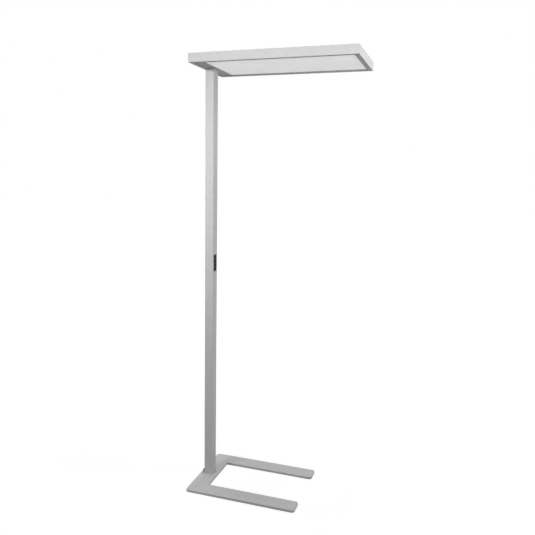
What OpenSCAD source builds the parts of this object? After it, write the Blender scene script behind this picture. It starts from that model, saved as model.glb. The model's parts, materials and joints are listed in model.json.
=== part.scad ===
// Office floor lamp: a flat light head on a square-cut pole that stands on a U-shaped steel base.
// Frame: +Z up, the floor at z = 0, the pole's axis at x = y = 0, head and legs reach along +X.

/* [Lamp] */
// Height of the whole lamp, floor to the top of the head
lamp_h = 1950; // [1700:10:2200]

/* [Base] */
// Length of the base plate along its legs
base_l = 521; // [450:1:600]
// Width across both legs
base_w = 385; // [340:1:450]
// Width of each leg
leg_w = 78; // [60:1:95]
// Width of the crossbar that joins the legs
crossbar_w = 82; // [76:1:110]
// Distance from the pole's axis back to the base's rear edge
base_back = 39; // [36:0.5:46]
// Thickness of the steel plate
base_t = 10; // [8:0.5:15]
// Radius of the plate's outer corners
base_corner_r = 14; // [4:0.5:25]
// Radius of the two inner corners
base_inner_r = 6; // [2:0.5:15]
// Thickness of the pads under the plate
pad_t = 2; // [1:0.5:4]
// Diameter of the corner pads
pad_d = 34; // [20:1:44]
// Diameter of the pad under the pole
centre_pad_d = 22; // [12:1:26]

/* [Pole] */
// Pole size along X
pole_x = 40; // [38:1:44]
// Pole size along Y
pole_y = 48; // [46:1:60]
// Wall of the extrusion
pole_wall = 2; // [1.5:0.1:2.6]
// Outer corner radius of the extrusion
pole_corner_r = 1.5; // [0.5:0.1:3]
// Diameter of the screws in the pole's ports
pole_screw_d = 6; // [5:0.5:6]
// Wall round each screw port
port_wall = 1.5; // [1.2:0.1:1.8]
// How far the screws reach into the ports
pole_screw_reach = 16; // [10:1:30]

/* [Cable gland] */
// Bore that grips the supply lead
gland_bore_d = 7.5; // [6:0.1:8]
// Diameter of the gland's flange
gland_d = 14; // [13:0.5:15]
// How far the gland stands out of the pole
gland_out = 13; // [12:0.5:18]
// Place of the gland across the pole's rear face
gland_y = -4; // [-4.5:0.5:4.5]
// Diameter of the gland's threaded neck
gland_neck_d = 10.4; // [10.2:0.1:11]
// Length of the neck inside the pole
gland_neck_l = 8; // [6:0.5:12]
// Size across the flats of the nut
gland_nut_af = 14; // [13.5:0.5:14.5]
// Thickness of the nut
gland_nut_t = 4; // [3:0.5:5]

/* [Keypad] */
// Height of the keypad's centre above the floor
keypad_z = 1050; // [900:5:1200]
// Height of each push button
button_h = 12.6; // [10:0.1:13]
// Width of each push button
button_w = 20; // [17:0.1:21.4]
// Distance between the buttons' centres
button_pitch = 18.9; // [18.6:0.1:22]
// How far a button stands out of the rim at rest
button_proud = 1.6; // [1:0.1:2.4]
// Travel of a button
button_travel = 0.8; // [0.4:0.1:1]
// How far the rim laps over the pole's cut-out
keypad_lap = 1.8; // [1:0.1:2.4]
// Thickness of the rim, in front of the pole
keypad_rim_t = 1.2; // [0.8:0.1:2]
// Thickness of the keypad's front, rim and all
keypad_front_t = 3; // [2.4:0.1:3.4]
// How far the housing reaches into the pole, from the pole's face
keypad_depth = 10; // [9.6:0.1:12]
// Wall of the housing
keypad_wall = 1.1; // [1:0.1:1.4]

/* [Head] */
// Length of the head
head_l = 715; // [600:5:900]
// Width of the head
head_w = 360; // [300:5:420]
// Height of the head's frame
head_h = 37; // [37:0.5:45]
// Distance from the pole's axis back to the head's end
head_back = 29; // [26:0.5:34]
// Width of the lip that frames the underside
lip_w = 21; // [18:0.5:24]
// Width that the lip is trimmed to at the pole's end
end_lip_w = 15; // [14:0.5:17]
// Thickness of the lip
lip_t = 1.8; // [1.4:0.1:2.2]
// Depth of the diffuser behind the lip
reveal = 5; // [4.5:0.1:6]
// Outer wall of the rails
rail_wall = 2; // [1.6:0.1:2.4]
// Distance from the pole's axis to the visible edge of the diffuser
bay_edge = 32.5; // [31:0.5:42]
// How far the cover under the pole's bay stands below the diffuser
bay_cover_h = 2.5; // [2:0.1:3]
// Thickness of the diffuser
diffuser_t = 3; // [2:0.5:4]
// Thickness of the mounting plate
mount_plate_t = 3; // [3:0.5:4]
// Thickness of the top cover
cover_t = 1.8; // [1.5:0.1:2.5]
// Distance from the opening in the top cover to the head's outer end
window_end = 70; // [40:1:300]
// Width of the opening in the top cover
window_w = 184; // [120:2:190]
// Distance from the pole's axis to the opening
window_x = 96; // [80:1:120]

/* [Hidden] */
$fn = 48;
eps = 0.01;

// Fits
thread_gap = 0.05;
drill_gap = 0.3;
slip_gap = 0.2;

// Base
base_x0 = -base_back;
base_x1 = base_x0 + base_l;
crossbar_x1 = base_x0 + crossbar_w;
base_top = pad_t + base_t;
leg_y = base_w / 2 - leg_w / 2;
pad_inset = max(base_corner_r, pad_d / 2 + 4);
base_head_r = 5.6;
base_head_sink = 0.4;

// Pole
pole_screw_r = pole_screw_d / 2;
port_r = pole_screw_r + thread_gap;
port_boss_r = port_r + port_wall;
port_sink = 0.5;
port_slot = 2.4;
port_pos_x = pole_x / 2 - pole_wall - port_boss_r + port_sink;
port_pos_y = pole_y / 2 - pole_wall - port_boss_r + port_sink;

// Cable gland
gland_bore_r = gland_bore_d / 2;
gland_flange_t = 3;
gland_seat_gap = 0.5;
gland_z = base_top + gland_d / 2 + gland_seat_gap;
gland_grip_end = 2;
gland_relief = 0.4;
gland_mouth_wall = 1.6;

// Keypad
button_count = 4;
button_gap = 0.35;
button_lip = 0.7;
button_lip_gap = 0.4;
keypad_body_h = (button_count - 1) * button_pitch + button_h
    + 2 * (button_lip + button_lip_gap + keypad_wall);
keypad_body_w = button_w + 2 * (button_lip + button_lip_gap + keypad_wall);
keypad_h = keypad_body_h + 2 * keypad_lap;
keypad_w = keypad_body_w + 2 * keypad_lap;
keypad_corner_r = 3;
keypad_face = pole_x / 2 + keypad_rim_t;
keypad_front_back = keypad_face - keypad_front_t;
keypad_rear = pole_x / 2 - keypad_depth;
cutout_gap = 0.2;
hook_reach = 1.2;
hook_run = 3.5;
hook_w = 10;
button_corner_r = 2;
button_crown = 0.5;
button_lip_t = 1.2;
button_face = keypad_face + button_proud;
button_back = keypad_front_back - button_lip_t;
switch_s = 6;
switch_h = 3;
switch_clear = 0.4;
board_front = button_back - button_travel - switch_clear - switch_h;
board_t = 1.6;
board_gap = 0.5;
board_w = keypad_body_w - 2 * keypad_wall - 2 * board_gap;
board_h = keypad_body_h - 2 * keypad_wall - 2 * board_gap;
plunger_r = 1.75;
plunger_gap = 0.3;
plunger_in = 1.1;
post_r = 1.9;
post_screw_r = 0.9;
post_screw_depth = 3.5;
post_head_r = 1.8;
post_head_h = 1.4;
post_socket_r = 0.6;
screw_short = 0.3;
connector_h = 10;
connector_w = 8;
connector_d = 6.2;
connector_top = board_h / 2 - 1;
control_lead_r = 2.2;

// Head: heights are above the head's underside, head_z
head_z = lamp_h - head_h;
head_x0 = -head_back;
head_x1 = head_x0 + head_l;
head_y = head_w / 2;
bead_w = 2;
screw_rib_u = 10.5;
screw_rib_w = 5.2;
shelf_z = 14;
shelf_t = 1.5;
shelf_w = 14;
flange_w = 12;
flange_t = 1.6;
flange_top = head_h - cover_t;
key_gap = 0.1;
key_t = 3.4;
key_leg = 38;
hook_t = 1.4;
hook_h = 2;
hook_u = rail_wall + key_t + 2 * key_gap;
key_z0 = shelf_z + shelf_t + key_gap;
key_z1 = flange_top - flange_t - key_gap;
key_screw_r = 2;
key_screw_in = 26;
sheet_gap = 0.4;
notch_gap = 0.3;

// Divider between the pole's bay and the light chamber
divider_t = 2;
bay_sheet_t = 1.2;
foot_t = bay_cover_h - bay_sheet_t;
foot_w = 8.5;
divider_x = bay_edge - foot_w;
bay_step = 3;
bay_groove = 2;
bay_side_gap = 0.5;
bay_cover_x0 = head_x0 + end_lip_w + bay_groove;
bay_cover_x1 = bay_edge - bay_step;
bay_cover_y = head_y - lip_w - bay_side_gap;
bay_cover_z = reveal - bay_cover_h;
bay_boss_r = 4;
bay_screw_x = 4;
bay_screw_in = 28.5;
bay_screw_y = bay_cover_y - bay_screw_in;
bay_screw_l = bay_cover_h + mount_plate_t - screw_short;
tray_rest_w = 10;
divider_top = flange_top - flange_t - 0.4;
lead_slot = [24, 40, 9, 26];

// Plate, tray, cover and what is on them
plate_x0 = head_x0 + rail_wall + sheet_gap;
plate_x1 = divider_x - sheet_gap;
plate_z1 = reveal + mount_plate_t;
light_x0 = divider_x + divider_t + sheet_gap;
light_x1 = head_x1 - rail_wall - sheet_gap;
tray_t = 1.5;
tray_z = shelf_z + shelf_t;
tray_top = tray_z + tray_t;
tray_edge = hook_u + hook_t + 0.8;
small_screw_r = 1.5;
small_head_r = 2.8;
small_head_h = 1.8;
small_socket_r = 0.9;
blind_depth = 2.4;
small_flat_r = 2.9;
cover_screw_l = 6;
cover_screw_u = 9.6;
tray_screw_u = 11.4;
tray_screw_l = 3.6;
plate_screw_l = mount_plate_t + 2.6;
pole_head_r = 5;
pole_head_h = 3.3;
grommet_r = 5.6;
grommet_flange_r = 7.6;
grommet_flange_t = 1.2;
grommet_bore_r = control_lead_r + 0.2;
window_l = head_x1 - window_end - window_x;
window_lap = 12;
window_t = 3;
board_strip_t = 1.6;
board_strip_w = 24;
board_start = 50;
board_end_gap = 24;
down_board_y = head_y / 2;
up_board_y = 40;
chip_s = 3;
chip_h = 0.8;
chip_pitch = 30;
chip_margin = 22;
plug_l = 8;
plug_w = 6;
plug_h = 3;
lead_r = 1.2;
driver_w = 34;
driver_l = 100;
driver_h = 21;
driver_ear = 8;
driver_ear_t = 2;
driver_x = 4;
driver_end = 7;
driver_y0 = head_y - driver_end - 2 * driver_ear - driver_l;
driver_cap_l = 12;
driver_cap_step = 0.8;
driver_lead_r = 1.8;
terminal_w = 28;
terminal_l = 30;
terminal_h = 16;
terminal_y1 = -34;
terminal_ways = 5;
terminal_port = 3.2;
terminal_flap = 5;
terminal_flap_t = 3;
terminal_head_r = 2.3;
earth_head_r = 3.4;
earth_in = 30;
earth_y = earth_in - bay_screw_y;

// Shapes that repeat

module rounded_rect(x0, x1, y0, y1, r) {
    translate([x0 + r, y0]) square([x1 - x0 - 2 * r, y1 - y0]);
    translate([x0, y0 + r]) square([x1 - x0, y1 - y0 - 2 * r]);
    for (x = [x0 + r, x1 - r])
        for (y = [y0 + r, y1 - r])
            translate([x, y]) circle(r = r);
}

// A flat block between two corners
module block(low, high) {
    translate(low) cube(high - low);
}

// Things at the four corners of a rectangle round the origin
module at_corners(x, y) {
    for (i = [-1, 1])
        for (j = [-1, 1])
            translate([i * x, j * y, 0]) children();
}

// Countersunk screw along -Z, its flat head's top at z = 0, with a hexagon socket
module countersunk_screw(r, head_r, length, socket_r) {
    cone_h = head_r - r;
    difference() {
        union() {
            translate([0, 0, -cone_h]) cylinder(h = cone_h, r1 = r, r2 = head_r);
            translate([0, 0, -length]) cylinder(h = length - cone_h, r = r);
        }
        translate([0, 0, -cone_h]) cylinder(h = cone_h + eps, r = socket_r, $fn = 6);
    }
}

// The hole for it: a cone at the face and a clearance hole below
module countersink(r, head_r, depth) {
    cone_h = head_r - r;
    translate([0, 0, -cone_h]) cylinder(h = cone_h + eps, r1 = r, r2 = head_r + eps);
    translate([0, 0, -depth]) cylinder(h = depth, r = r);
}

// Pan-head screw along -Z, the head's seat at z = 0, with a hexagon socket
module pan_screw(r, head_r, head_h, length, socket_r) {
    difference() {
        union() {
            cylinder(h = head_h * 0.6, r = head_r);
            translate([0, 0, head_h * 0.6])
                cylinder(h = head_h * 0.4, r1 = head_r, r2 = head_r * 0.8);
            translate([0, 0, -length]) cylinder(h = length, r = r);
        }
        translate([0, 0, head_h * 0.4]) cylinder(h = head_h, r = socket_r, $fn = 6);
    }
}

// Round lead along a list of points: rings of 8 that stand square to the route
lead_sides = 8;
function unit(v) = v / norm(v);
function lead_dir(p, i) =
    i == 0 ? unit(p[1] - p[0])
    : i == len(p) - 1 ? unit(p[i] - p[i - 1])
    : unit(unit(p[i] - p[i - 1]) + unit(p[i + 1] - p[i]));
function lead_ring(c, d, side, r) =
    let (u = unit(cross(side, d)), v = cross(d, u))
    [for (k = [0:lead_sides - 1])
        c + r * (cos(360 * k / lead_sides) * u + sin(360 * k / lead_sides) * v)];

module lead(points, side, r) {
    n = len(points);
    rings = [for (i = [0:n - 1]) each lead_ring(points[i], lead_dir(points, i), side, r)];
    first = [for (k = [0:lead_sides - 1]) k];
    last = [for (k = [lead_sides - 1:-1:0]) (n - 1) * lead_sides + k];
    walls = [
        for (i = [0:n - 2])
            for (k = [0:lead_sides - 1])
                let (a = i * lead_sides + k, b = i * lead_sides + (k + 1) % lead_sides)
                each [[a, a + lead_sides, b + lead_sides], [a, b + lead_sides, b]]
    ];
    polyhedron(points = rings, faces = concat([first], [last], walls));
}

// Base

module base_outline() {
    for (side = [-1, 1])
        rounded_rect(base_x0, base_x1, side * leg_y - leg_w / 2, side * leg_y + leg_w / 2,
            base_corner_r);
    translate([base_x0, -leg_y]) square([crossbar_w, 2 * leg_y]);
    // Inner corners, filled by a quarter round
    for (side = [-1, 1])
        translate([crossbar_x1, side * (leg_y - leg_w / 2)])
            mirror([0, side > 0 ? 1 : 0])
                difference() {
                    translate([-1, -1]) square(base_inner_r + 1);
                    translate([base_inner_r, base_inner_r]) circle(r = base_inner_r);
                }
}

module base_plate() {
    color("darkgray")
        difference() {
            translate([0, 0, pad_t]) linear_extrude(base_t) base_outline();
            at_corners(port_pos_x, port_pos_y)
                translate([0, 0, pad_t + base_head_sink])
                    mirror([0, 0, 1]) {
                        countersink(pole_screw_r + drill_gap, base_head_r + drill_gap,
                            base_t + 1);
                        cylinder(h = base_head_sink + eps, r = base_head_r + drill_gap);
                    }
        }
}

module floor_pads() {
    color("dimgray") {
        for (side = [-1, 1])
            for (x = [base_x0 + pad_inset, base_x1 - pad_inset])
                translate([x, side * (base_w / 2 - pad_inset), 0])
                    cylinder(h = pad_t, d = pad_d);
        cylinder(h = pad_t, d = centre_pad_d);
    }
}

module base_screws() {
    color("gray")
        at_corners(port_pos_x, port_pos_y)
            translate([0, 0, pad_t + base_head_sink])
                mirror([0, 0, 1])
                    countersunk_screw(pole_screw_r, base_head_r,
                        base_t - base_head_sink + pole_screw_reach, 2);
}

// Pole

module pole_profile() {
    hx = pole_x / 2;
    hy = pole_y / 2;
    difference() {
        rounded_rect(-hx, hx, -hy, hy, pole_corner_r);
        translate([-hx + pole_wall, -hy + pole_wall])
            square([pole_x - 2 * pole_wall, pole_y - 2 * pole_wall]);
    }
    // Open screw ports in the four corners
    for (i = [-1, 1])
        for (j = [-1, 1])
            translate([i * port_pos_x, j * port_pos_y])
                difference() {
                    circle(r = port_boss_r);
                    circle(r = port_r);
                    translate([i > 0 ? -2 * port_boss_r : 0, -port_slot / 2])
                        square([2 * port_boss_r, port_slot]);
                }
}

module pole_tube() {
    color("silver")
        difference() {
            translate([0, 0, base_top])
                linear_extrude(head_z + reveal - base_top) pole_profile();
            // Cut-out for the keypad
            block([pole_x / 2 - pole_wall - eps, -keypad_body_w / 2 - cutout_gap,
                    keypad_z - keypad_body_h / 2 - cutout_gap],
                [pole_x / 2 + 1, keypad_body_w / 2 + cutout_gap,
                    keypad_z + keypad_body_h / 2 + cutout_gap]);
            // Hole for the gland's neck
            translate([-pole_x / 2 - 1, gland_y, gland_z])
                rotate([0, 90, 0])
                    cylinder(h = pole_wall + 2, d = gland_neck_d + 2 * thread_gap);
        }
}

module cable_gland() {
    color("black")
        translate([-pole_x / 2, gland_y, gland_z])
            rotate([0, -90, 0])
                rotate_extrude()
                    polygon([
                        [gland_bore_r, gland_out],
                        [gland_bore_r + gland_mouth_wall, gland_out],
                        [gland_d / 2 - 1, gland_flange_t + 1],
                        [gland_d / 2, gland_flange_t],
                        [gland_d / 2, 0],
                        [gland_neck_d / 2, 0],
                        [gland_neck_d / 2, -pole_wall - gland_neck_l],
                        [gland_bore_r + gland_relief, -pole_wall - gland_neck_l],
                        [gland_bore_r + gland_relief, gland_grip_end],
                        [gland_bore_r, gland_grip_end]
                    ]);
}

module gland_nut() {
    color("black")
        translate([-pole_x / 2 + pole_wall, gland_y, gland_z])
            rotate([0, 90, 0])
                difference() {
                    rotate([0, 0, 30])
                        cylinder(h = gland_nut_t, r = gland_nut_af / 2 / cos(30), $fn = 6);
                    translate([0, 0, -1])
                        cylinder(h = gland_nut_t + 2, d = gland_neck_d + 2 * thread_gap);
                }
}

// Keypad

function button_z(i) = keypad_z + ((button_count + 1) / 2 - i) * button_pitch;
post_z = [keypad_z + button_pitch, keypad_z - button_pitch];

// A block that stands out along +X, with round corners in the YZ plane
module face_block(x0, x1, w, h, r) {
    translate([x0, 0, 0])
        rotate([90, 0, 90])
            linear_extrude(x1 - x0) rounded_rect(-w / 2, w / 2, -h / 2, h / 2, r);
}

module snap_hook() {
    translate([0, hook_w / 2, 0])
        rotate([90, 0, 0])
            linear_extrude(hook_w)
                polygon([
                    [pole_x / 2 - pole_wall, keypad_body_h / 2 - eps],
                    [pole_x / 2 - pole_wall, keypad_body_h / 2 + hook_reach],
                    [pole_x / 2 - pole_wall - hook_run, keypad_body_h / 2 - eps]
                ]);
}

module keypad_housing() {
    window_w_y = button_w + 2 * button_gap;
    window_h_z = button_h + 2 * button_gap;
    color("dimgray")
        difference() {
            union() {
                translate([0, 0, keypad_z]) {
                    face_block(pole_x / 2, keypad_face, keypad_w, keypad_h, keypad_corner_r);
                    difference() {
                        block([keypad_rear, -keypad_body_w / 2, -keypad_body_h / 2],
                            [pole_x / 2 + eps, keypad_body_w / 2, keypad_body_h / 2]);
                        block([keypad_rear - 1, -keypad_body_w / 2 + keypad_wall,
                                -keypad_body_h / 2 + keypad_wall],
                            [keypad_front_back, keypad_body_w / 2 - keypad_wall,
                                keypad_body_h / 2 - keypad_wall]);
                    }
                    snap_hook();
                    mirror([0, 0, 1]) snap_hook();
                }
                for (z = post_z)
                    translate([board_front, 0, z])
                        rotate([0, 90, 0])
                            cylinder(h = keypad_front_back - board_front + eps, r = post_r);
            }
            for (i = [1:button_count])
                translate([0, 0, button_z(i)])
                    face_block(keypad_front_back - 1, keypad_face + 1, window_w_y, window_h_z,
                        button_corner_r + button_gap);
            for (z = post_z)
                translate([board_front - 1, 0, z])
                    rotate([0, 90, 0])
                        cylinder(h = post_screw_depth + 1, r = post_screw_r + thread_gap);
        }
}

module button(i) {
    color("black")
        translate([0, 0, button_z(i)]) {
            face_block(button_back, keypad_front_back, button_w + 2 * button_lip,
                button_h + 2 * button_lip, button_corner_r);
            face_block(keypad_front_back - eps, button_face - button_crown, button_w, button_h,
                button_corner_r);
            face_block(button_face - button_crown - eps, button_face,
                button_w - 2 * button_crown, button_h - 2 * button_crown,
                button_corner_r - button_crown);
        }
}

module switch_plunger(i) {
    color("ivory")
        translate([board_front + switch_h - plunger_in, 0, button_z(i)])
            rotate([0, 90, 0])
                cylinder(h = button_back - board_front - switch_h + plunger_in, r = plunger_r);
}

module keypad_board() {
    color("seagreen")
        difference() {
            translate([0, 0, keypad_z])
                block([board_front - board_t, -board_w / 2, -board_h / 2],
                    [board_front, board_w / 2, board_h / 2]);
            for (z = post_z)
                translate([board_front - board_t - 1, 0, z])
                    rotate([0, 90, 0])
                        cylinder(h = board_t + 2, r = post_screw_r + slip_gap);
        }
}

module tact_switches() {
    bore_depth = plunger_in + button_travel + 0.1;
    color("black")
        for (i = [1:button_count])
            translate([board_front, 0, button_z(i)])
                difference() {
                    block([0, -switch_s / 2, -switch_s / 2],
                        [switch_h, switch_s / 2, switch_s / 2]);
                    translate([switch_h - bore_depth, 0, 0])
                        rotate([0, 90, 0])
                            cylinder(h = bore_depth + 1, r = plunger_r + plunger_gap);
                }
}

module keypad_screws() {
    color("gray")
        for (z = post_z)
            translate([board_front - board_t, 0, z])
                rotate([0, -90, 0])
                    pan_screw(post_screw_r, post_head_r, post_head_h,
                        board_t + post_screw_depth - screw_short, post_socket_r);
}

module keypad_connector() {
    color("ivory")
        translate([board_front - board_t, 0, keypad_z + connector_top])
            block([-connector_d, -connector_w / 2, -connector_h], [0, connector_w / 2, 0]);
}

// Lead from the keypad up the pole and through the plate to the terminal block
module control_lead() {
    start = [board_front - board_t - connector_d / 2 - 0.6, 0, keypad_z + connector_top];
    end = [0, terminal_y1, head_z + plate_z1 + 9.5];
    through = head_z + reveal;
    color("whitesmoke")
        lead([
            start,
            start + [0, 0, 12],
            start + [-2, 0, 40],
            [1, 0, start[2] + 80],
            [0, 0, start[2] + 120],
            [0, 0, through - 14],
            [0, 0, through + mount_plate_t + 5],
            [0, -2.5, through + mount_plate_t + 9],
            [0, -8, through + mount_plate_t + 11.5],
            [0, -15, through + mount_plate_t + 12],
            [0, -22, through + mount_plate_t + 11],
            [0, -28, end[2]],
            end
        ], [1, 0, 0], control_lead_r);
}

// Head frame

// Section of the rails: u inward from the outer face, z up from the underside
module rail_profile() {
    square([rail_wall, head_h]);
    square([lip_w, lip_t]);
    translate([lip_w - bead_w, 0]) square([bead_w, reveal]);
    translate([screw_rib_u - screw_rib_w / 2, 0]) square([screw_rib_w, reveal]);
    translate([0, shelf_z]) square([shelf_w, shelf_t]);
    translate([hook_u, shelf_z]) square([hook_t, shelf_t + hook_h]);
    translate([0, flange_top - flange_t]) square([flange_w, flange_t]);
    translate([hook_u, flange_top - flange_t - hook_h]) square([hook_t, flange_t + hook_h]);
}

// A rail along +X with its outer face on y = 0, cut at 45 degrees at both ends
module mitred_rail(length) {
    reach = lip_w + 1;
    intersection() {
        rotate([90, 0, 90]) linear_extrude(length) rail_profile();
        linear_extrude(head_h)
            polygon([[0, 0], [length, 0], [length - reach, reach], [reach, reach]]);
    }
}

// Stations of the screws along a side, evenly spaced between two ends
function stations(a, b, n) = [for (i = [0:n - 1]) a + (b - a) * (i + 0.5) / n];
cover_side_x = stations(head_x0, head_x1, 4);
cover_end_y = stations(-head_y, head_y, 2);
tray_side_x = stations(light_x0, light_x1, 4);
plate_side_x = [plate_x0 + 12, plate_x1 - 8];
plate_end_y = stations(-head_y + 20, head_y - 20, 4);

module at_cover_screws() {
    for (side = [-1, 1])
        for (x = cover_side_x)
            translate([x, side * (head_y - cover_screw_u), head_z + head_h]) children();
    for (x = [head_x0 + cover_screw_u, head_x1 - cover_screw_u])
        for (y = cover_end_y)
            translate([x, y, head_z + head_h]) children();
}

module at_tray_screws() {
    for (side = [-1, 1])
        for (x = tray_side_x)
            translate([x, side * (head_y - tray_screw_u), head_z + tray_top]) children();
}

module at_plate_screws() {
    for (side = [-1, 1])
        for (x = plate_side_x)
            translate([x, side * (head_y - screw_rib_u), head_z + plate_z1]) children();
    for (y = plate_end_y)
        translate([head_x0 + screw_rib_u, y, head_z + plate_z1]) children();
}

module head_pilot_holes() {
    at_cover_screws()
        translate([0, 0, -cover_t - flange_t - 1])
            cylinder(h = flange_t + 2, r = small_screw_r + thread_gap);
    at_tray_screws()
        translate([0, 0, -tray_t - shelf_t - 1])
            cylinder(h = shelf_t + 2, r = small_screw_r + thread_gap);
    at_plate_screws()
        translate([0, 0, -plate_screw_l - 0.2])
            cylinder(h = plate_screw_l + 1, r = small_screw_r + thread_gap);
}

module right_side_rail() {
    color("gainsboro")
        difference() {
            translate([head_x0, -head_y, head_z]) mitred_rail(head_l);
            head_pilot_holes();
        }
}

module left_side_rail() {
    color("gainsboro")
        difference() {
            translate([head_x0, head_y, head_z]) mirror([0, 1, 0]) mitred_rail(head_l);
            head_pilot_holes();
        }
}

module pole_end_rail() {
    color("gainsboro")
        difference() {
            translate([head_x0, head_y, head_z]) rotate([0, 0, -90]) mitred_rail(head_w);
            head_pilot_holes();
            // The lip's inner part, trimmed between the side lips
            block([head_x0 + end_lip_w, -(head_y - lip_w), head_z - 1],
                [head_x0 + lip_w + 1, head_y - lip_w, head_z + reveal + 0.5]);
            // Notch in the lip, where the pole passes
            block([-pole_x / 2 - notch_gap, -pole_y / 2 - notch_gap, head_z - 1],
                [head_x0 + lip_w + 1, pole_y / 2 + notch_gap, head_z + reveal + 0.5]);
        }
}

module outer_end_rail() {
    color("gainsboro")
        difference() {
            translate([head_x1, -head_y, head_z]) rotate([0, 0, 90]) mitred_rail(head_w);
            head_pilot_holes();
        }
}

// Children drawn at the head's four corners, with +X and +Y leading inward
module at_head_corners() {
    translate([head_x0, -head_y, head_z]) children();
    translate([head_x0, head_y, head_z]) mirror([0, 1, 0]) children();
    translate([head_x1, -head_y, head_z]) mirror([1, 0, 0]) children();
    translate([head_x1, head_y, head_z]) mirror([1, 0, 0]) mirror([0, 1, 0]) children();
}

// Children drawn for both legs of a corner key
module both_legs() {
    children();
    mirror([1, -1, 0]) children();
}

module corner_keys() {
    a = rail_wall + key_gap;
    b = a + key_t;
    key_mid = (key_z0 + key_z1) / 2;
    color("gray")
        at_head_corners()
            difference() {
                translate([0, 0, key_z0])
                    linear_extrude(key_z1 - key_z0)
                        polygon([[a, a], [key_leg, a], [key_leg, b], [b, b], [b, key_leg],
                            [a, key_leg]]);
                both_legs()
                    translate([key_screw_in, rail_wall - 1, key_mid])
                        rotate([-90, 0, 0])
                            cylinder(h = key_t + 2, r = key_screw_r + thread_gap);
            }
}

module corner_screws() {
    key_mid = (key_z0 + key_z1) / 2;
    color("dimgray")
        at_head_corners()
            both_legs()
                translate([key_screw_in, rail_wall, key_mid])
                    rotate([-90, 0, 0])
                        difference() {
                            cylinder(h = key_t + 1.2, r = key_screw_r);
                            translate([0, 0, key_t - 0.8]) cylinder(h = 3, r = 1.1, $fn = 6);
                        }
}

// Pole's bay

module mount_plate() {
    color("lightgray")
        difference() {
            block([plate_x0, -head_y + rail_wall + sheet_gap, head_z + reveal],
                [plate_x1, head_y - rail_wall - sheet_gap, head_z + plate_z1]);
            at_corners(port_pos_x, port_pos_y)
                translate([0, 0, head_z + reveal - 1])
                    cylinder(h = mount_plate_t + 2, r = pole_screw_r + drill_gap);
            translate([0, 0, head_z + reveal - 1])
                cylinder(h = mount_plate_t + 2, r = grommet_r);
            at_plate_screws()
                translate([0, 0, -mount_plate_t - 1])
                    cylinder(h = mount_plate_t + 2, r = small_screw_r + slip_gap);
            at_board_screws()
                translate([0, 0, -blind_depth])
                    cylinder(h = blind_depth + 1, r = small_screw_r + thread_gap);
            at_bay_screws()
                cylinder(h = bay_cover_h + mount_plate_t + 1, r = small_screw_r + thread_gap);
        }
}

// Screws that hold the driver, the terminal block and the earth lug, blind in the plate
module at_driver_screws() {
    for (y = [driver_y0 + driver_ear / 2, driver_y0 + 2 * driver_ear + driver_l - driver_ear / 2])
        translate([driver_x, y, head_z + plate_z1]) children();
}

module at_terminal_screws() {
    for (y = [terminal_y1 - terminal_flap / 2, terminal_y1 - terminal_l + terminal_flap / 2])
        translate([driver_x - terminal_w / 2 + terminal_flap / 2, y, head_z + plate_z1])
            children();
}

module at_board_screws() {
    at_driver_screws() children();
    at_terminal_screws() children();
    translate([0, earth_y, head_z + plate_z1]) children();
}

module mount_plate_screws() {
    color("gray")
        at_plate_screws()
            pan_screw(small_screw_r, small_head_r, small_head_h, plate_screw_l, small_socket_r);
}

module pole_head_screws() {
    color("gray")
        at_corners(port_pos_x, port_pos_y)
            translate([0, 0, head_z + plate_z1])
                pan_screw(pole_screw_r, pole_head_r, pole_head_h,
                    mount_plate_t + pole_screw_reach, 2);
}

module cable_grommet() {
    color("black")
        translate([0, 0, head_z + reveal])
            rotate_extrude()
                polygon([
                    [grommet_bore_r, -grommet_flange_t],
                    [grommet_flange_r, -grommet_flange_t],
                    [grommet_flange_r, 0],
                    [grommet_r, 0],
                    [grommet_r, mount_plate_t],
                    [grommet_flange_r, mount_plate_t],
                    [grommet_flange_r, mount_plate_t + grommet_flange_t],
                    [grommet_bore_r, mount_plate_t + grommet_flange_t]
                ]);
}

// Screws of the bay cover, from below
module at_bay_screws() {
    for (side = [-1, 1])
        translate([bay_screw_x, side * bay_screw_y, head_z + bay_cover_z]) children();
}

// Shallow folded cover under the pole's bay, open round the pole. Its flanges reach up to the
// mounting plate, and its free edge lies under the divider's foot.
module bay_cover() {
    top = head_z + reveal;
    under = head_z + bay_cover_z;
    color("lightgray")
        difference() {
            union() {
                block([bay_cover_x0, -bay_cover_y, under],
                    [bay_cover_x1, bay_cover_y, under + bay_sheet_t]);
                block([bay_cover_x0, -bay_cover_y, under],
                    [bay_cover_x0 + bay_sheet_t, bay_cover_y, top]);
                for (side = [-1, 1])
                    translate([0, side * (bay_cover_y - bay_sheet_t / 2), 0])
                        block([bay_cover_x0, -bay_sheet_t / 2, under],
                            [plate_x1, bay_sheet_t / 2, top]);
                at_bay_screws() cylinder(h = bay_cover_h, r = bay_boss_r);
            }
            block([-pole_x / 2 - notch_gap, -pole_y / 2 - notch_gap, under - 1],
                [pole_x / 2 + notch_gap, pole_y / 2 + notch_gap, top + 1]);
            at_bay_screws()
                mirror([0, 0, 1])
                    countersink(small_screw_r + slip_gap, small_flat_r + slip_gap,
                        bay_cover_h + 1);
        }
}

module bay_cover_screws() {
    color("gray")
        at_bay_screws()
            mirror([0, 0, 1])
                countersunk_screw(small_screw_r, small_flat_r, bay_screw_l, small_socket_r);
}

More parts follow.
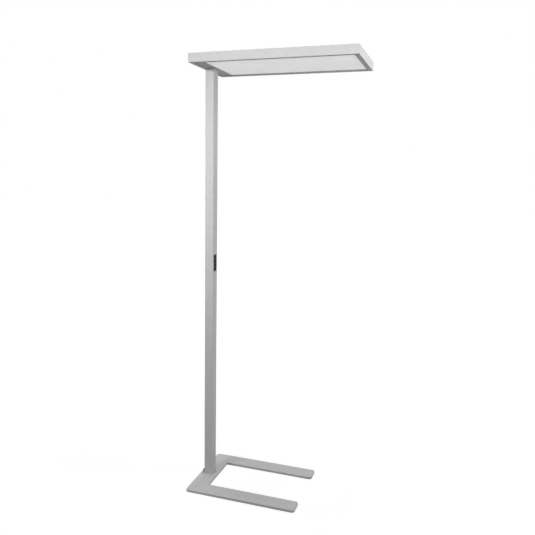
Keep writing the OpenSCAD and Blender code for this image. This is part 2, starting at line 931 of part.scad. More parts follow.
module bay_divider() {
    foot_y = head_y - lip_w - slip_gap;
    web_y = head_y - shelf_w - sheet_gap;
    color("lightgray")
        difference() {
            union() {
                block([divider_x, -foot_y, head_z + reveal - foot_t],
                    [bay_edge, foot_y, head_z + reveal]);
                block([divider_x, -foot_y, head_z + reveal - eps],
                    [divider_x + divider_t, foot_y, head_z + reveal + 1]);
                block([divider_x, -web_y, head_z + reveal],
                    [divider_x + divider_t, web_y, head_z + divider_top]);
                block([divider_x, -web_y, head_z + shelf_z],
                    [divider_x + divider_t + tray_rest_w, web_y, head_z + shelf_z + shelf_t]);
            }
            block([divider_x - 1, lead_slot[0], head_z + lead_slot[2]],
                [divider_x + divider_t + eps, lead_slot[1], head_z + lead_slot[3]]);
        }
}

// Light chamber

module led_tray() {
    color("white")
        difference() {
            block([light_x0, -head_y + tray_edge, head_z + tray_z],
                [head_x1 - tray_edge, head_y - tray_edge, head_z + tray_top]);
            at_tray_screws()
                translate([0, 0, -tray_t - 1])
                    cylinder(h = tray_t + 2, r = small_screw_r + slip_gap);
        }
}

module tray_screws() {
    color("gray")
        at_tray_screws()
            pan_screw(small_screw_r, small_head_r, small_head_h, tray_screw_l, small_socket_r);
}

// A strip board on z = 0 with its chips and plug on top
module led_board(length) {
    chips = floor((length - 2 * chip_margin) / chip_pitch) + 1;
    first = (length - (chips - 1) * chip_pitch) / 2;
    translate([0, -board_strip_w / 2, 0]) cube([length, board_strip_w, board_strip_t]);
    for (i = [0:chips - 1])
        translate([first + i * chip_pitch - chip_s / 2, -chip_s / 2, board_strip_t - eps])
            cube([chip_s, chip_s, chip_h + eps]);
    translate([0, -plug_w / 2, board_strip_t - eps]) cube([plug_l, plug_w, plug_h + eps]);
}

board_l = light_x1 - board_start - board_end_gap;

module down_led_boards() {
    color("white")
        for (y = [-down_board_y, 0, down_board_y])
            translate([board_start, y, head_z + tray_z]) mirror([0, 0, 1]) led_board(board_l);
}

module up_led_boards() {
    color("white")
        for (y = [-up_board_y, up_board_y])
            translate([board_start, y, head_z + tray_top]) led_board(board_l);
}

module led_leads() {
    up_z = head_z + tray_top + board_strip_t + plug_h / 2;
    down_z = head_z + tray_z - board_strip_t - plug_h / 2;
    slot_y = (lead_slot[0] + lead_slot[1]) / 2;
    color("whitesmoke") {
        lead([
            [4, driver_y0 + driver_ear, head_z + 23],
            [4, driver_y0 + 2, head_z + 23],
            [8, slot_y + 3, head_z + 23],
            [14, slot_y + 1, head_z + 23],
            [divider_x, slot_y, head_z + 23],
            [divider_x + 9, slot_y + 2, head_z + 22.5],
            [board_start - 8, up_board_y, up_z],
            [board_start, up_board_y, up_z]
        ], [0, 0, 1], lead_r);
        lead([
            [12, driver_y0 + driver_ear, head_z + 13],
            [12, driver_y0 + 1, head_z + 13],
            [16, slot_y + 3, head_z + 12],
            [divider_x - 2, slot_y, head_z + 12],
            [divider_x + 6, slot_y - 8, head_z + 12],
            [divider_x + 12, 12, head_z + 12],
            [board_start - 8, 0, down_z],
            [board_start, 0, down_z]
        ], [0, 0, 1], lead_r);
    }
}

module diffuser() {
    color("white")
        block([light_x0, -head_y + rail_wall + sheet_gap, head_z + reveal],
            [light_x1, head_y - rail_wall - sheet_gap, head_z + reveal + diffuser_t]);
}

// Top

module top_cover() {
    color("gainsboro")
        difference() {
            block([head_x0 + rail_wall + slip_gap, -head_y + rail_wall + slip_gap,
                    head_z + flange_top],
                [head_x1 - rail_wall - slip_gap, head_y - rail_wall - slip_gap,
                    head_z + head_h]);
            translate([0, 0, head_z + flange_top - 1])
                linear_extrude(cover_t + 2)
                    rounded_rect(window_x, window_x + window_l, -window_w / 2, window_w / 2, 4);
            at_cover_screws()
                countersink(small_screw_r + slip_gap, small_flat_r + slip_gap, cover_t + 1);
        }
}

module top_cover_screws() {
    color("gray")
        at_cover_screws()
            countersunk_screw(small_screw_r, small_flat_r, cover_screw_l, small_socket_r);
}

module uplight_window() {
    color("aliceblue", 0.6)
        block([window_x - window_lap, -window_w / 2 - window_lap,
                head_z + flange_top - window_t],
            [window_x + window_l + window_lap, window_w / 2 + window_lap,
                head_z + flange_top]);
}

// Electrics in the bay

module led_driver() {
    z0 = head_z + plate_z1;
    y0 = driver_y0 + driver_ear;
    x0 = driver_x - driver_w / 2;
    color("white")
        difference() {
            union() {
                block([x0, y0 + driver_cap_l, z0], [x0 + driver_w, y0 + driver_l - driver_cap_l,
                    z0 + driver_h]);
                block([x0 + driver_cap_step, y0, z0],
                    [x0 + driver_w - driver_cap_step, y0 + driver_l, z0 + driver_h
                        - driver_cap_step]);
                block([x0 + driver_w / 4, driver_y0, z0],
                    [x0 + driver_w * 3 / 4, y0 + driver_l + driver_ear, z0 + driver_ear_t]);
            }
            at_driver_screws()
                translate([0, 0, -1])
                    cylinder(h = driver_ear_t + 2, r = small_screw_r + slip_gap);
        }
}

module driver_screws() {
    color("gray")
        at_driver_screws()
            translate([0, 0, driver_ear_t])
                pan_screw(small_screw_r, small_head_r, small_head_h,
                    driver_ear_t + blind_depth - screw_short, small_socket_r);
}

module driver_lead() {
    z = head_z + plate_z1 + 7;
    color("whitesmoke")
        lead([
            [driver_x + 8, terminal_y1, z],
            [driver_x + 8, terminal_y1 + 6, z],
            [port_pos_x + 2, -20, z + 1],
            [port_pos_x + 3, 0, z + 1],
            [port_pos_x + 2, 24, z + 1],
            [driver_x + 12, driver_y0 - 2, z],
            [driver_x + 12, driver_y0 + driver_ear, z]
        ], [0, 0, 1], driver_lead_r);
}

module terminal_block() {
    z0 = head_z + plate_z1;
    x0 = driver_x - terminal_w / 2;
    y0 = terminal_y1 - terminal_l;
    way = (terminal_l - 2 * terminal_flap) / terminal_ways;
    color("white")
        difference() {
            union() {
                block([x0, y0, z0], [x0 + terminal_flap, terminal_y1, z0 + terminal_flap_t]);
                block([x0 + terminal_flap - eps, y0, z0],
                    [x0 + terminal_w, terminal_y1, z0 + terminal_h]);
            }
            // Square entries for the wires, along the block's outer side
            for (i = [0:terminal_ways - 1])
                translate([x0 + terminal_w - terminal_flap,
                        y0 + terminal_flap + way * (i + 0.5) - terminal_port / 2,
                        z0 + terminal_h / 2])
                    cube([terminal_flap + 1, terminal_port, terminal_port]);
            at_terminal_screws()
                translate([0, 0, -1])
                    cylinder(h = terminal_flap_t + 2, r = small_screw_r + slip_gap);
        }
}

module terminal_screws() {
    color("gray")
        at_terminal_screws()
            translate([0, 0, terminal_flap_t])
                pan_screw(small_screw_r, terminal_head_r, small_head_h,
                    terminal_flap_t + blind_depth - screw_short, small_socket_r);
}

module earth_screw() {
    color("gold")
        translate([0, earth_y, head_z + plate_z1])
            pan_screw(small_screw_r, earth_head_r, small_head_h, blind_depth - screw_short,
                small_socket_r);
}

base_plate();
floor_pads();
base_screws();
pole_tube();
cable_gland();
gland_nut();
keypad_housing();
button(1);  // button_1
button(2);  // button_2
button(3);  // button_3
button(4);  // button_4
switch_plunger(1);  // switch_plunger_1
switch_plunger(2);  // switch_plunger_2
switch_plunger(3);  // switch_plunger_3
switch_plunger(4);  // switch_plunger_4
keypad_board();
tact_switches();
keypad_screws();
keypad_connector();
control_lead();
right_side_rail();
left_side_rail();
pole_end_rail();
outer_end_rail();
corner_keys();
corner_screws();
mount_plate();
mount_plate_screws();
pole_head_screws();
cable_grommet();
bay_cover();
bay_cover_screws();
bay_divider();
led_tray();
tray_screws();
down_led_boards();
up_led_boards();
led_leads();
diffuser();
top_cover();
top_cover_screws();
uplight_window();
led_driver();
driver_screws();
driver_lead();
terminal_block();
terminal_screws();
earth_screw();
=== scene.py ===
"""Looks for the office floor lamp: its finishes, its broken edges, the studio and the camera.

Metres, +Z up, the floor at z = 0, the pole's axis at x = y = 0, the head and the legs reach
along +X.
"""

import json
import math

import bmesh
import bpy
from mathutils import Matrix, Vector

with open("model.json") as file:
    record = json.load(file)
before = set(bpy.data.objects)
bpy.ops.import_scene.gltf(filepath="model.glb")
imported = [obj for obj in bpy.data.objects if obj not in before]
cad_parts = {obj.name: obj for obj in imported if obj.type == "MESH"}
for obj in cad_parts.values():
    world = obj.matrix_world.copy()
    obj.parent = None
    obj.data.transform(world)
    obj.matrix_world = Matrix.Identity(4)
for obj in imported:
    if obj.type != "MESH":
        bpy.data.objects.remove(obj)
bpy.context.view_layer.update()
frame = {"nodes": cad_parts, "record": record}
NODES = frame["nodes"]
MM = 0.001

# ---------------------------------------------------------------------------
# Camera: in front of the lamp and to its right, a little below eye height, looking a little
# down
# ---------------------------------------------------------------------------

CAMERA_PLACE = Vector((1.089, -2.463, 1.428))
CAMERA_YAW = math.radians(18.24)
CAMERA_PITCH = math.radians(8.42)
CAMERA_ROLL = math.radians(1.07)
# Lens and sensor width in millimetres
CAMERA_LENS = 39.12
SENSOR = 36.0
# What lies farther off than this isn't drawn
FAR_END = 100


def place_camera():
    """Turned left by the yaw, tipped down by the pitch and leant by the roll."""
    ahead = Vector(
        (
            -math.sin(CAMERA_YAW) * math.cos(CAMERA_PITCH),
            math.cos(CAMERA_YAW) * math.cos(CAMERA_PITCH),
            -math.sin(CAMERA_PITCH),
        )
    )
    level = Vector((math.cos(CAMERA_YAW), math.sin(CAMERA_YAW), 0))
    upright = level.cross(ahead)
    right = math.cos(CAMERA_ROLL) * level + math.sin(CAMERA_ROLL) * upright
    up = math.cos(CAMERA_ROLL) * upright - math.sin(CAMERA_ROLL) * level
    lens = bpy.data.cameras.new("camera")
    lens.lens = CAMERA_LENS
    lens.sensor_width = SENSOR
    lens.dof.use_dof = False
    lens.clip_end = FAR_END
    camera = bpy.data.objects.new("camera", lens)
    turned = Matrix((right, up, -ahead)).transposed().to_4x4()
    camera.matrix_world = Matrix.Translation(CAMERA_PLACE) @ turned
    bpy.context.scene.collection.objects.link(camera)
    bpy.context.scene.camera = camera


place_camera()

# ---------------------------------------------------------------------------
# What all materials share
# ---------------------------------------------------------------------------

# Nearly all of a noise's values lie between these two
NOISE_RANGE = {"From Min": 0.3, "From Max": 0.7}
# Waves in a metre that a wave node has at scale 1
WAVES_AT_ONE = 20 / math.tau
ACRYLIC_IOR = 1.49
PLASTIC_IOR = 1.53


def linear(code):
    """An sRGB hex colour as the linear colour that a shader takes, by the sRGB curve."""
    channels = [int(code[i : i + 2], 16) / 255 for i in (1, 3, 5)]
    return tuple(
        c / 12.92 if c <= 0.04045 else ((c + 0.055) / 1.055) ** 2.4 for c in channels
    ) + (1.0,)


def add(tree, kind, inputs=None, **settings):
    """A new node with its settings, its input values and its links. A node among the inputs
    is linked by its first output."""
    made = tree.nodes.new(kind)
    for name, value in settings.items():
        setattr(made, name, value)
    for key, value in (inputs or {}).items():
        if isinstance(value, bpy.types.Node):
            value = value.outputs[0]
        if isinstance(value, bpy.types.NodeSocket):
            tree.links.new(value, made.inputs[key])
        else:
            made.inputs[key].default_value = value
    return made


def per_metre(mm):
    """How many features of this many millimetres lie in a metre, as a pattern's scale."""
    return 1 / (mm * MM)


def begin(name):
    """A new material, its empty node tree and the piece's own coordinates in metres."""
    material = bpy.data.materials.new(name)
    material.use_nodes = True
    tree = material.node_tree
    tree.nodes.clear()
    place = add(tree, "ShaderNodeTexCoord").outputs["Object"]
    return material, tree, place


def two_shades(tree, pattern, dark, light):
    """A colour that a noise varies between two near shades."""
    share = add(tree, "ShaderNodeMapRange", {"Value": pattern, **NOISE_RANGE})
    # A Mix node's colours are its inputs 6 and 7, and its mixed colour is output 2
    shades = {0: share, 6: linear(dark), 7: linear(light)}
    return add(tree, "ShaderNodeMix", shades, data_type="RGBA").outputs[2]


# ---------------------------------------------------------------------------
# Powder coats
# ---------------------------------------------------------------------------

# How far the roughness varies either way
COAT_ROUGH_SPREAD = 0.05
# Millimetres. The flake is finer on a real coat, and drawn this coarse so that it shows
COAT_CLOUD = 26
COAT_PEBBLE = 1.5
COAT_PEBBLE_DEPTH = 0.01
COAT_FLAKE = 0.35


def powder_coat(name, dark, light, rough, metallic):
    """Polyester powder coat, sprayed and baked. It shows as a satin colour with a fine pebble,
    a faint cloudiness and a gloss that varies from spot to spot."""
    material, tree, place = begin(name)
    cloud = add(
        tree,
        "ShaderNodeTexNoise",
        {"Vector": place, "Scale": per_metre(COAT_CLOUD), "Detail": 3.0, "Roughness": 0.55},
    )
    pebble = add(
        tree, "ShaderNodeTexNoise", {"Vector": place, "Scale": per_metre(COAT_PEBBLE)}
    )
    flake = add(
        tree,
        "ShaderNodeTexNoise",
        {"Vector": place, "Scale": per_metre(COAT_FLAKE), "Detail": 0.0},
    )
    roughness = add(
        tree,
        "ShaderNodeMapRange",
        {
            "Value": flake,
            **NOISE_RANGE,
            "To Min": rough - COAT_ROUGH_SPREAD,
            "To Max": rough + COAT_ROUGH_SPREAD,
        },
    )
    relief = add(
        tree, "ShaderNodeBump", {"Height": pebble, "Distance": COAT_PEBBLE_DEPTH * MM}
    )
    shader = add(
        tree,
        "ShaderNodeBsdfPrincipled",
        {
            "Base Color": two_shades(tree, cloud, dark, light),
            "Metallic": metallic,
            "Roughness": roughness,
            "Normal": relief,
        },
    )
    add(tree, "ShaderNodeOutputMaterial", {"Surface": shader})
    return material


def powder_coated_steel():
    """The base: silver grey on steel plate, a shade darker and flatter than the pole."""
    return powder_coat("powder_coated_steel", "#BDBDBD", "#C2C2C2", rough=0.62, metallic=0.05)


def powder_coated_pole():
    """The pole: silver grey on extruded aluminium, with a satin gloss."""
    return powder_coat("powder_coated_pole", "#C1C1C1", "#C6C6C6", rough=0.58, metallic=0.05)


def powder_coated_rail():
    """The head's rails: the same coat as the pole's."""
    return powder_coat("powder_coated_rail", "#C1C1C1", "#C6C6C6", rough=0.58, metallic=0.05)


def powder_coated_sheet():
    """The head's covers and mount plate: the rails' coat, painted a shade lighter so that the
    shaded bay cover under the head reads brighter.
    """
    return powder_coat("powder_coated_sheet", "#C6C6C6", "#CBCBCB", rough=0.58, metallic=0.05)


def white_reflector_coat():
    """The tray that carries the light boards: plain white, to throw the light back."""
    return powder_coat("white_reflector_coat", "#ECECEA", "#F2F2F0", rough=0.6, metallic=0.0)


# ---------------------------------------------------------------------------
# Acrylic sheets
# ---------------------------------------------------------------------------

# Strength of a painted glow on the sheet: nothing behind it gives off light, and the glow
# brightens its shaded underside
OPAL_PAINTED_GLOW = 0.45
OPAL_ROUGHNESS = {"To Min": 0.5, "To Max": 0.62}
# Millimetres. The grain is finer on a real matt face, and drawn this coarse so that it shows
OPAL_CLOUD = 120
OPAL_GRAIN = 0.8
OPAL_GRAIN_DEPTH = 0.02


def opal_acrylic():
    """The diffuser: extruded opal PMMA sheet with a matt face. It shows as a soft white, and a
    painted glow brightens it evenly, since no light shines through it from behind."""
    material, tree, place = begin("opal_acrylic")
    cloud = add(
        tree,
        "ShaderNodeTexNoise",
        {"Vector": place, "Scale": per_metre(OPAL_CLOUD), "Detail": 1.0},
    )
    grain = add(
        tree, "ShaderNodeTexNoise", {"Vector": place, "Scale": per_metre(OPAL_GRAIN)}
    )
    roughness = add(
        tree, "ShaderNodeMapRange", {"Value": grain, **NOISE_RANGE, **OPAL_ROUGHNESS}
    )
    relief = add(
        tree, "ShaderNodeBump", {"Height": grain, "Distance": OPAL_GRAIN_DEPTH * MM}
    )
    shader = add(
        tree,
        "ShaderNodeBsdfPrincipled",
        {
            "Base Color": two_shades(tree, cloud, "#E4E4E4", "#EAEAEA"),
            "Roughness": roughness,
            "IOR": ACRYLIC_IOR,
            # Painted glow: the sheet gives off light of its own, in place of light falling on
            # its shaded underside
            "Emission Color": two_shades(tree, cloud, "#F4F4F3", "#FFFFFF"),
            "Emission Strength": OPAL_PAINTED_GLOW,
            "Normal": relief,
        },
    )
    add(tree, "ShaderNodeOutputMaterial", {"Surface": shader})
    return material


# Share of the pyramids' relief that the frosting leaves
PYRAMID_SHARPNESS = 0.6
PRISMATIC_ROUGHNESS = {"To Min": 0.16, "To Max": 0.3}
# Millimetres
PYRAMID_PITCH = 5
PYRAMID_HEIGHT = 0.35
PRISMATIC_CLOUD = 40


def prismatic_acrylic():
    """The uplight window: PMMA sheet rolled with rows of small pyramids both ways. It shows
    as a frosted, faintly ridged pane."""
    material, tree, place = begin("prismatic_acrylic")
    cloud = add(
        tree, "ShaderNodeTexNoise", {"Vector": place, "Scale": per_metre(PRISMATIC_CLOUD)}
    )
    relief = None
    for axis in ("X", "Y"):
        rows = add(
            tree,
            "ShaderNodeTexWave",
            {"Vector": place, "Scale": per_metre(PYRAMID_PITCH) / WAVES_AT_ONE},
            wave_type="BANDS",
            bands_direction=axis,
            wave_profile="TRI",
        ).outputs["Fac"]
        ridges = {
            "Height": rows,
            "Distance": PYRAMID_HEIGHT * MM,
            "Strength": PYRAMID_SHARPNESS,
        }
        if relief is not None:
            ridges["Normal"] = relief
        relief = add(tree, "ShaderNodeBump", ridges)
    # The second set of rows varies the gloss too
    roughness = add(tree, "ShaderNodeMapRange", {"Value": rows, **PRISMATIC_ROUGHNESS})
    shader = add(
        tree,
        "ShaderNodeBsdfPrincipled",
        {
            "Base Color": two_shades(tree, cloud, "#DDE1E2", "#E6E9EA"),
            "Roughness": roughness,
            "IOR": ACRYLIC_IOR,
            "Normal": relief,
        },
    )
    add(tree, "ShaderNodeOutputMaterial", {"Surface": shader})
    return material


# ---------------------------------------------------------------------------
# Plastics, rubbers and lacquers
# ---------------------------------------------------------------------------

# How far the roughness varies either way
PLASTIC_ROUGH_SPREAD = 0.06
# Millimetres
PLASTIC_CLOUD = 14


def polymer(name, dark, light, rough, grain, depth, gloss=0.5):
    """Plastic, rubber or lacquer with the grain that its mould, its die or its curing left, in
    millimetres wide and deep. Real grain is finer, and is drawn this coarse so that it shows.
    A strong grain shades its own reflection, which a gloss under 0.5 stands for."""
    material, tree, place = begin(name)
    grains = add(
        tree,
        "ShaderNodeTexNoise",
        {"Vector": place, "Scale": per_metre(grain), "Detail": 3.0, "Roughness": 0.6},
    )
    cloud = add(
        tree, "ShaderNodeTexNoise", {"Vector": place, "Scale": per_metre(PLASTIC_CLOUD)}
    )
    roughness = add(
        tree,
        "ShaderNodeMapRange",
        {
            "Value": grains,
            **NOISE_RANGE,
            "To Min": rough - PLASTIC_ROUGH_SPREAD,
            "To Max": rough + PLASTIC_ROUGH_SPREAD,
        },
    )
    relief = add(tree, "ShaderNodeBump", {"Height": grains, "Distance": depth * MM})
    shader = add(
        tree,
        "ShaderNodeBsdfPrincipled",
        {
            "Base Color": two_shades(tree, cloud, dark, light),
            "Roughness": roughness,
            "IOR": PLASTIC_IOR,
            "Specular IOR Level": gloss,
            "Normal": relief,
        },
    )
    add(tree, "ShaderNodeOutputMaterial", {"Surface": shader})
    return material


def eroded_abs():
    """The keypad's housing: ABS from a spark-eroded mould, dark grey and dull."""
    return polymer(
        "eroded_abs", "#333436", "#3B3C3E", rough=0.7, grain=0.5, depth=0.03, gloss=0.3
    )


def matt_abs():
    """The buttons: ABS with a fine blasted grain, nearly black and hardly shining."""
    return polymer(
        "matt_abs", "#0E0F10", "#141516", rough=0.75, grain=0.35, depth=0.01, gloss=0.12
    )


def natural_acetal():
    """The switches' plungers: moulded acetal without pigment, a waxy off-white."""
    return polymer("natural_acetal", "#DCD8CA", "#E4E0D4", rough=0.35, grain=1.0, depth=0.01)


def black_polyamide():
    """The gland, its nut and the switches' bodies: moulded polyamide, black and dull."""
    return polymer(
        "black_polyamide", "#141516", "#1C1D1E", rough=0.65, grain=0.6, depth=0.02, gloss=0.2
    )


def felted_rubber():
    """The pads under the base: rubber with a felt-like skin, dark grey and coarse."""
    return polymer("felted_rubber", "#2A2A2A", "#353535", rough=0.85, grain=0.8, depth=0.08)


def soft_rubber():
    """The grommet in the mount plate: moulded rubber, black with a soft sheen."""
    return polymer("soft_rubber", "#1A1A1A", "#222222", rough=0.7, grain=0.7, depth=0.03)


def green_solder_mask():
    """The keypad's board: cured green lacquer on glass laminate, smooth and shining."""
    return polymer("green_solder_mask", "#145035", "#1A5F40", rough=0.3, grain=1.2, depth=0.02)


def white_solder_mask():
    """The light boards: cured white lacquer, smooth, which throws the light back."""
    return polymer("white_solder_mask", "#ECEBE4", "#F3F2EC", rough=0.35, grain=1.2, depth=0.01)


def white_polycarbonate():
    """The driver's case, the terminals and the keypad's plug: moulded, with a faint grain."""
    return polymer("white_polycarbonate", "#E4E4E1", "#ECECEA", rough=0.4, grain=0.5, depth=0.02)


def grey_pvc():
    """The leads' jackets: extruded pale grey PVC, smooth with a soft gloss."""
    return polymer("grey_pvc", "#CFCFCE", "#D8D8D7", rough=0.5, grain=1.0, depth=0.02)


# ---------------------------------------------------------------------------
# Bare and plated metals
# ---------------------------------------------------------------------------

# How far the roughness varies either way
METAL_ROUGH_SPREAD = 0.06
# The lay is six times finer along Z than across it
LAY_STRETCH = (1, 1, 6)
# Millimetres
LAY_DEPTH = 0.01


def metal(name, dark, light, rough, lay, metallic=1.0):
    """Plated or bare metal. The faint lay that its turning or casting left is this many
    millimetres wide. Real lay is finer, and is drawn this coarse so that it shows."""
    material, tree, place = begin(name)
    stretched = add(tree, "ShaderNodeMapping", {"Vector": place, "Scale": LAY_STRETCH})
    lines = add(
        tree,
        "ShaderNodeTexNoise",
        {"Vector": stretched, "Scale": per_metre(lay), "Detail": 3.0, "Roughness": 0.6},
    )
    roughness = add(
        tree,
        "ShaderNodeMapRange",
        {
            "Value": lines,
            **NOISE_RANGE,
            "To Min": rough - METAL_ROUGH_SPREAD,
            "To Max": rough + METAL_ROUGH_SPREAD,
        },
    )
    relief = add(tree, "ShaderNodeBump", {"Height": lines, "Distance": LAY_DEPTH * MM})
    shader = add(
        tree,
        "ShaderNodeBsdfPrincipled",
        {
            "Base Color": two_shades(tree, lines, dark, light),
            "Metallic": metallic,
            "Roughness": roughness,
            "Normal": relief,
        },
    )
    add(tree, "ShaderNodeOutputMaterial", {"Surface": shader})
    return material


def zinc_plated_steel():
    """The screws of head, keypad and terminals: bright zinc on turned steel."""
    return metal("zinc_plated_steel", "#B4B6B4", "#C6C8C6", rough=0.32, lay=0.6)


def blackened_steel():
    """The base's and the corners' screws: black oxide on steel, a deep grey with some shine."""
    return metal("blackened_steel", "#2C2D2E", "#3A3B3C", rough=0.4, lay=0.6, metallic=0.8)


def die_cast_zinc():
    """The corner keys: zinc as it leaves the die, grey and softly mottled."""
    return metal("die_cast_zinc", "#9A9C9E", "#A8AAAC", rough=0.5, lay=1.5)


def turned_brass():
    """The earth screw: turned brass, yellow and shining."""
    return metal("turned_brass", "#C4A25A", "#D4B26A", rough=0.3, lay=0.6)


# The finish of each of the record's material slots
FINISHES = {
    "base_steel": powder_coated_steel(),
    "pole_aluminium": powder_coated_pole(),
    "head_aluminium": powder_coated_rail(),
    "sheet_aluminium": powder_coated_sheet(),
    "white_sheet": white_reflector_coat(),
    "opal_plastic": opal_acrylic(),
    "clear_plastic": prismatic_acrylic(),
    "keypad_plastic": eroded_abs(),
    "button_plastic": matt_abs(),
    "plunger_plastic": natural_acetal(),
    "gland_plastic": black_polyamide(),
    "pad_rubber": felted_rubber(),
    "grommet_rubber": soft_rubber(),
    "circuit_board": green_solder_mask(),
    "white_board": white_solder_mask(),
    "white_plastic": white_polycarbonate(),
    "wire_jacket": grey_pvc(),
    "zinc_steel": zinc_plated_steel(),
    "dark_steel": blackened_steel(),
    "key_zinc": die_cast_zinc(),
    "brass": turned_brass(),
}

# ---------------------------------------------------------------------------
# Pieces: each takes its finish, and its edges are broken as the real ones are
# ---------------------------------------------------------------------------

# Width in millimetres that an edge is broken to. Pieces not named here keep sharp edges
EDGE_MM = {
    "base_plate": 0.9,
    "pole_tube": 0.3,
    "top_cover": 0.25,
    "mount_plate": 0.2,
    "bay_cover": 0.25,
    "bay_divider": 0.2,
    "diffuser": 0.2,
    "uplight_window": 0.2,
    "keypad_housing": 0.35,
    "led_driver": 0.5,
    "terminal_block": 0.3,
    "floor_pads": 0.4,
    "cable_gland": 0.25,
}
for rail in ("right_side_rail", "left_side_rail", "pole_end_rail", "outer_end_rail"):
    EDGE_MM[rail] = 0.45
for button in ("button_1", "button_2", "button_3", "button_4"):
    EDGE_MM[button] = 0.4

# Corners of a mesh closer than this are one corner, in metres
WELD_REACH = 1e-6
EDGE_FACETS = 2
# A turn between two faces that is sharper than this is an edge
EDGE_ANGLE = math.radians(35)


def break_edges(piece, mm):
    weld = piece.modifiers.new("weld", "WELD")
    weld.merge_threshold = WELD_REACH
    bevel = piece.modifiers.new("broken_edges", "BEVEL")
    bevel.width = mm * MM
    bevel.segments = EDGE_FACETS
    bevel.limit_method = "ANGLE"
    bevel.angle_limit = EDGE_ANGLE
    bevel.use_clamp_overlap = True
    bevel.harden_normals = True


# Screws whose heads are sprayed with the panel that they hold
PAINTED = {"bay_cover_screws": "sheet_aluminium"}


def finish_pieces():
    slots = {p["node"]: p["material_slot"] for p in frame["record"]["subparts"]}
    for name, piece in NODES.items():
        for slot in piece.material_slots:
            slot.material = FINISHES[PAINTED.get(name, slots[name])]
        if name in EDGE_MM:
            break_edges(piece, EDGE_MM[name])


finish_pieces()

# ---------------------------------------------------------------------------
# Studio: soft lamps in front, on the right and above, fill lamps on the left and behind, a
# faint rim lamp, and a pale floor
# ---------------------------------------------------------------------------

# Name, place, what it points at, width, height, watts, spread in degrees. The key lamp, the
# front strip and the fills are flat and hang at the head's level, so that they light the
# head's sides and the pole up to its top, and not the head's underside. The right strip
# stands a little behind the pole, so that it lights the pole's right face and no face at the
# front. The right lamp lights the head's outer end, and the low strip the pole's lower half.
# The top lamp hangs left of the pole, so that the head keeps its light off the legs. The rim
# lamp is a narrow beam from behind that only glances off the head's outer end.
LAMPS = (
    ("key_lamp", (0.7, -2.0, 1.99), (0.5, 0.0, 1.95), 0.9, 0.2, 3, 70),
    ("right_lamp", (1.5, -0.6, 2.3), (0.69, 0.0, 1.93), 0.5, 0.4, 7, 180),
    ("front_strip", (-0.5, -1.6, 1.99), (0.0, 0.0, 1.2), 0.6, 0.2, 5, 90),
    ("low_strip", (-0.8, -2.0, 0.7), (0.0, 0.0, 0.3), 0.6, 0.2, 2, 90),
    ("right_strip", (2.2, 0.3, 1.6), (0.0, 0.0, 0.3), 0.6, 0.2, 9, 120),
    ("top_lamp", (-0.22, 0.0, 4.5), (-0.22, 0.0, 0.0), 0.2, 0.8, 32, 180),
    ("rim_lamp", (1.1, 2.5, 2.4), (0.72, 0.0, 1.95), 0.4, 0.3, 0.1, 24),
    ("left_fill", (-2.4, 0.9, 1.95), (0.0, 0.0, 1.5), 1.2, 0.2, 14, 180),
    ("back_fill", (0.0, 2.8, 1.95), (0.2, 0.0, 1.5), 1.4, 0.2, 14, 180),
)
# Strength of the light that comes from all round
AIR_STRENGTH = 0.08


def soft_lamp(name, place, target, width, height, watts, spread):
    light = bpy.data.lights.new(name, "AREA")
    light.shape = "RECTANGLE"
    light.size = width
    light.size_y = height
    light.spread = math.radians(spread)
    light.energy = watts
    lamp = bpy.data.objects.new(name, light)
    lamp.location = place
    beam = Vector(target) - Vector(place)
    lamp.rotation_euler = beam.to_track_quat("-Z", "Y").to_euler()
    bpy.context.scene.collection.objects.link(lamp)


def seen_directly(tree):
    """1 for rays from the camera and for those that a gloss or a clear piece sends on."""
    path = add(tree, "ShaderNodeLightPath")
    seen = path.outputs["Is Camera Ray"]
    for ray in ("Is Glossy Ray", "Is Transmission Ray"):
        seen = add(tree, "ShaderNodeMath", {0: seen, 1: path.outputs[ray]}, operation="MAXIMUM")
    return seen


def studio_air():
    """White to the eye, and a faint light from all round on the lamp."""
    world = bpy.data.worlds.new("studio_air")
    bpy.context.scene.world = world
    world.use_nodes = True
    tree = world.node_tree
    tree.nodes.clear()
    white = linear("#FFFFFF")
    air = add(tree, "ShaderNodeBackground", {"Color": white, "Strength": AIR_STRENGTH})
    backdrop = add(tree, "ShaderNodeBackground", {"Color": white, "Strength": 1.0})
    mix = add(tree, "ShaderNodeMixShader", {0: seen_directly(tree), 1: air, 2: backdrop})
    add(tree, "ShaderNodeOutputWorld", {"Surface": mix})


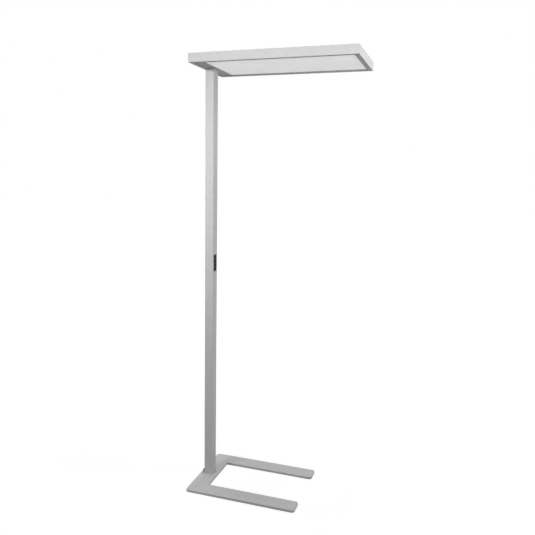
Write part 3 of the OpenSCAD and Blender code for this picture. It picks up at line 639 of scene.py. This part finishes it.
# Metres from the pole between which the floor's glow rises, and its strength at either end.
# Near the pole it stays short of white, so that the lamp's shadow shows there
GLOW_REACH = {"From Min": 0.7, "From Max": 2.2}
GLOW_STRENGTH = {"To Min": 0.82, "To Max": 1.0}
# Millimetres
FLOOR_CLOUD = 300


def matt_pale_floor():
    """Rolled matt paint, pale grey. Its glow makes it white to the eye, except in the lamp's
    shadow."""
    material, tree, place = begin("matt_pale_floor")
    cloud = add(
        tree,
        "ShaderNodeTexNoise",
        {"Vector": place, "Scale": per_metre(FLOOR_CLOUD), "Detail": 1.0},
    )
    paint = add(
        tree, "ShaderNodeBsdfDiffuse", {"Color": two_shades(tree, cloud, "#8C8C8C", "#909090")}
    )
    reach = add(tree, "ShaderNodeVectorMath", {0: place}, operation="LENGTH").outputs["Value"]
    strength = add(tree, "ShaderNodeMapRange", {"Value": reach, **GLOW_REACH, **GLOW_STRENGTH})
    glow = add(
        tree, "ShaderNodeEmission", {"Color": linear("#FFFFFF"), "Strength": strength}
    )
    glowing = add(tree, "ShaderNodeAddShader", {0: paint, 1: glow})
    mix = add(tree, "ShaderNodeMixShader", {0: seen_directly(tree), 1: paint, 2: glowing})
    add(tree, "ShaderNodeOutputMaterial", {"Surface": mix})
    # The glow is for the eye alone, so no light is sought there
    material.cycles.emission_sampling = "NONE"
    return material


# Metres from the floor's middle to its sides, and the squares along a side
FLOOR_HALF_SIDE = 30
FLOOR_SQUARES = 8
# How far the floor lies under the pads, so that the two faces don't share a plane
FLOOR_DROP = 0.0002


def studio_floor():
    mesh = bpy.data.meshes.new("studio_floor")
    sheet = bmesh.new()
    bmesh.ops.create_grid(
        sheet, x_segments=FLOOR_SQUARES, y_segments=FLOOR_SQUARES, size=FLOOR_HALF_SIDE
    )
    sheet.to_mesh(mesh)
    sheet.free()
    floor = bpy.data.objects.new("studio_floor", mesh)
    floor.location.z = -FLOOR_DROP
    bpy.context.scene.collection.objects.link(floor)
    floor.data.materials.append(matt_pale_floor())


for lamp in LAMPS:
    soft_lamp(*lamp)
studio_air()
studio_floor()

bpy.context.scene.view_settings.view_transform = "Standard"
